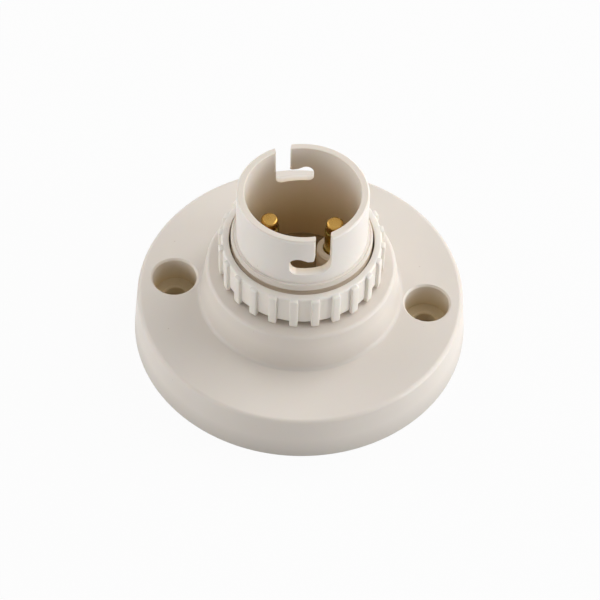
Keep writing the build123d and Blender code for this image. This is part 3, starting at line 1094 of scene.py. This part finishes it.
@dataclass
class CoilSpring(GrownPiece):
    """Compression spring of round wire between a terminal and its plunger's collar."""

    name: str
    place: AxisPlace
    start: float
    radius: float = 2.08 * MM
    foot: float = 12.97 * MM
    top: float = 20.93 * MM
    turns: float = 4.0
    turn_steps: int = 32
    wire_radius: float = 0.22 * MM
    wire_sides: int = 12

    def measures(self) -> dict[str, Union[float, int]]:
        """Lists the tree's named inputs and their values.

        Returns:
            The values by name.
        """
        return {
            "Radius": self.radius,
            "Wire Radius": self.wire_radius,
            "Length": self.top - self.foot,
            "Foot": self.foot,
            "Turns": self.turns,
            "Start": math.radians(self.start),
            "Place X": self.place.x,
            "Place Y": self.place.y,
        }

    def grow(self, sheet: ShapeSheet, size: Sockets) -> Socket:
        """Lays the tree: a round wire along a helix.

        Args:
            sheet: the tree's nodes.
            size: the tree's named inputs.

        Returns:
            The spring.
        """
        helix = sheet.helix(self.turn_steps, size["Radius"], size["Length"], size["Turns"])
        wire = sheet.circle(self.wire_sides, size["Wire Radius"])
        wound = sheet.smooth(sheet.sweep(helix, wire, capped=True))
        seat = sheet.join(size["Place X"], size["Place Y"], size["Foot"])
        return sheet.move(wound, seat, sheet.turn(size["Start"]))


@dataclass
class Mouldings:
    """The plastic pieces: base, bayonet barrel, contact block and shade ring."""

    ring: ShadeRing = field(default_factory=ShadeRing)

    def build(self, wardrobe: Wardrobe) -> None:
        """Dresses the solids and sets the grown ring in place.

        Args:
            wardrobe: the finishes.
        """
        wardrobe.dress("base", Finish.BASE)
        wardrobe.dress("holder_body", Finish.SOCKET)
        wardrobe.dress("contact_block", Finish.BLOCK)
        wardrobe.dress("shade_ring", Finish.RING)
        piece = self.ring.build(wardrobe.take(Finish.RING))
        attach(piece, "shade_ring")
        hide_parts("shade_ring")


@dataclass
class Contacts:
    """The live parts: plungers, springs, terminals and their screws."""

    spacing: float = 12.6 * MM
    turn: float = 3.0
    clamp: ScrewSize = ScrewSize(
        head_radius=2.5 * MM,
        head_foot=1.4 * MM,
        head_top=2.9 * MM,
        shank_radius=1.45 * MM,
        tip=7.45 * MM,
        pitch=0.5 * MM,
    )
    left_slot_turn: float = 25.0
    right_slot_turn: float = -40.0
    spring_seat: float = 12.75 * MM
    plunger_travel: float = 5.5 * MM

    def place(self, side: int) -> AxisPlace:
        """Works out where a contact's axis stands.

        Args:
            side: -1 for the left contact, 1 for the right one.

        Returns:
            The place.
        """
        around = math.radians(self.turn)
        reach = side * self.spacing / 2
        return AxisPlace(reach * math.cos(around), reach * math.sin(around))

    def build(self, wardrobe: Wardrobe) -> None:
        """Dresses the solids and sets the grown screws and springs in place.

        Args:
            wardrobe: the finishes.
        """
        for label, side, slot_turn in (("left", -1, self.left_slot_turn), ("right", 1, self.right_slot_turn)):
            place = self.place(side)
            wardrobe.dress("plunger_" + label, Finish.CONTACT)
            wardrobe.dress("spring_" + label, Finish.SPRING)
            wardrobe.dress("terminal_" + label, Finish.TERMINAL)
            wardrobe.dress("terminal_screw_" + label, Finish.SCREW)
            screw = SlottedScrew("clamp_screw_" + label, self.clamp, (place,), slot_turn=slot_turn)
            piece = screw.build(wardrobe.take(Finish.SCREW))
            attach(piece, "housing")
            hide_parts("terminal_screw_" + label)
            self.coil(label, place, wardrobe)

    def coil(self, label: str, place: AxisPlace, wardrobe: Wardrobe) -> None:
        """Sets a grown spring under a plunger.

        Args:
            label: the side that it stands on.
            place: where its axis stands.
            wardrobe: the finishes.
        """
        spring = CoilSpring("coil_spring_" + label, place, start=self.turn)
        piece = spring.build(wardrobe.take(Finish.SPRING))
        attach(piece, "housing")
        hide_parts("spring_" + label)
        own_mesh(piece)


@dataclass
class Fasteners:
    """The two screws that clamp the block to the base."""

    orbit: float = 14.3 * MM
    turn: float = 3.0
    screw: ScrewSize = ScrewSize(
        head_radius=2.0 * MM,
        head_foot=10.15 * MM,
        head_top=11.55 * MM,
        shank_radius=1.1 * MM,
        tip=15.85 * MM,
        pitch=0.9 * MM,
    )

    def build(self, wardrobe: Wardrobe) -> None:
        """Dresses the solid and sets the grown screws in place.

        Args:
            wardrobe: the finishes.
        """
        around = math.radians(self.turn)
        x, y = -self.orbit * math.sin(around), self.orbit * math.cos(around)
        wardrobe.dress("block_screws", Finish.SCREW)
        pair = SlottedScrew("block_screw_pair", self.screw, (AxisPlace(-x, -y), AxisPlace(x, y)))
        piece = pair.build(wardrobe.take(Finish.SCREW))
        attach(piece, "housing")
        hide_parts("block_screws")


@dataclass(frozen=True)
class Softbox:
    """Square studio lamp that points at the object."""

    name: str
    azimuth: float
    elevation: float
    power: float
    distance: float = 0.9
    size: float = 0.5
    colour: Colour = WHITE

    def build(self, target: Vector) -> None:
        """Adds the lamp.

        Args:
            target: the point that it faces.
        """
        around = math.radians(self.azimuth)
        up = math.radians(self.elevation)
        direction = Vector((math.sin(around) * math.cos(up), -math.cos(around) * math.cos(up), math.sin(up)))
        lamp = bpy.data.lights.new(self.name, "AREA")
        lamp.shape = "SQUARE"
        lamp.size = self.size
        lamp.energy = self.power
        lamp.color = self.colour
        holder = bpy.data.objects.new(self.name, lamp)
        holder.location = target + direction * self.distance
        holder.rotation_euler = (-direction).to_track_quat("-Z", "Y").to_euler()
        bpy.context.scene.collection.objects.link(holder)


@dataclass
class Studio:
    """Camera, floor, background and lamps."""

    ground_range: float = 272.06 * MM
    height: float = 346.43 * MM
    azimuth: float = 5.58
    pitch: float = 51.315
    roll: float = 1.646
    lens: float = 129.95
    sensor: float = 36.0
    nearest: float = 10.0 * MM
    floor_half: float = 3.0
    floor_paper: Colour = (0.65, 0.65, 0.65)
    floor_glow: float = 0.95
    shaded_radius: float = 31.0 * MM
    surround: float = 0.22
    target: Vector = field(default_factory=lambda: Vector((0.0, 0.0, 15.0 * MM)))
    softboxes: tuple[Softbox, ...] = (
        Softbox("right_low", azimuth=90.0, elevation=4.0, power=6.4, colour=(0.985, 1.0, 1.025)),
        Softbox("right_high", azimuth=90.0, elevation=42.0, power=1.3),
        Softbox("back_right", azimuth=135.0, elevation=42.0, power=3.2),
        Softbox("back_left", azimuth=-135.0, elevation=42.0, power=1.5),
        Softbox("left", azimuth=-90.0, elevation=20.0, power=2.1),
        Softbox("front_left_low", azimuth=-45.0, elevation=4.0, power=2.8),
    )

    def camera(self) -> None:
        """Adds the camera at the photograph's viewpoint."""
        lens = bpy.data.cameras.new("camera")
        lens.lens = self.lens
        lens.sensor_width = self.sensor
        lens.clip_start = self.nearest
        holder = bpy.data.objects.new("camera", lens)
        around = math.radians(self.azimuth)
        turn = Matrix.Rotation(around, 4, "Z")
        tilt = Matrix.Rotation(math.radians(90.0 - self.pitch), 4, "X")
        roll = Matrix.Rotation(math.radians(self.roll), 4, "Z")
        place = Vector((math.sin(around) * self.ground_range, -math.cos(around) * self.ground_range, self.height))
        holder.matrix_world = Matrix.Translation(place) @ turn @ tilt @ roll
        bpy.context.scene.collection.objects.link(holder)
        bpy.context.scene.camera = holder

    def floor(self) -> None:
        """Adds the pale floor, which looks white but still takes a soft shadow."""
        half = self.floor_half
        mesh = bpy.data.meshes.new("floor")
        corners = [(-half, -half, 0.0), (half, -half, 0.0), (half, half, 0.0), (-half, half, 0.0)]
        mesh.from_pydata(corners, [], [(0, 1, 2, 3)])
        mesh.materials.append(self.floor_material())
        holder = bpy.data.objects.new("floor", mesh)
        bpy.context.scene.collection.objects.link(holder)

    def floor_material(self) -> bpy.types.Material:
        """Builds the floor's material: paper that glows white to the camera.

        Returns:
            The material.
        """
        material = bpy.data.materials.new("floor_white")
        material.use_nodes = True
        tree = material.node_tree
        tree.nodes.remove(tree.nodes["Principled BSDF"])
        sheet = NodeSheet(tree)
        paper = sheet.add("ShaderNodeBsdfDiffuse", {"Color": opaque(self.floor_paper)})
        glow = sheet.add("ShaderNodeEmission", {"Strength": 1.0})
        # Under the base the floor stays plain paper, so the screw holes look dark.
        place = sheet.source("ShaderNodeTexCoord")["Object"]
        reach = sheet.add("ShaderNodeVectorMath", {0: place}, operation="LENGTH").outputs["Value"]
        open_air = sheet.math("GREATER_THAN", reach, self.shaded_radius)
        white = sheet.math("MULTIPLY", sheet.math("MULTIPLY", sheet.seen(), open_air), self.floor_glow)
        mix = sheet.add("ShaderNodeMixShader", {"Fac": white, 1: paper.outputs[0], 2: glow.outputs[0]})
        sheet.fill(tree.nodes["Material Output"], {"Surface": mix.outputs[0]})
        return material

    def world(self) -> None:
        """Sets a background that looks white but hardly lights the object."""
        world = bpy.data.worlds.new("studio")
        world.use_nodes = True
        bpy.context.scene.world = world
        sheet = NodeSheet(world.node_tree)
        level = sheet.add("ShaderNodeMapRange", {"Value": sheet.seen(), "To Min": self.surround, "To Max": 1.0})
        shade = world.node_tree.nodes["Background"]
        sheet.fill(shade, {"Color": opaque(WHITE), "Strength": level.outputs["Result"]})

    def build(self) -> None:
        """Sets up the whole studio."""
        bpy.context.scene.view_settings.view_transform = "Standard"
        self.camera()
        self.floor()
        self.world()
        for softbox in self.softboxes:
            softbox.build(self.target)


def main() -> None:
    """Builds the dressed lampholder and its studio."""
    logging.basicConfig(level=logging.INFO, format="%(name)s: %(message)s")
    wardrobe = Wardrobe()
    for group in (Mouldings(), Contacts(), Fasteners()):
        group.build(wardrobe)
    Studio().build()


if __name__ == "__main__":
    main()
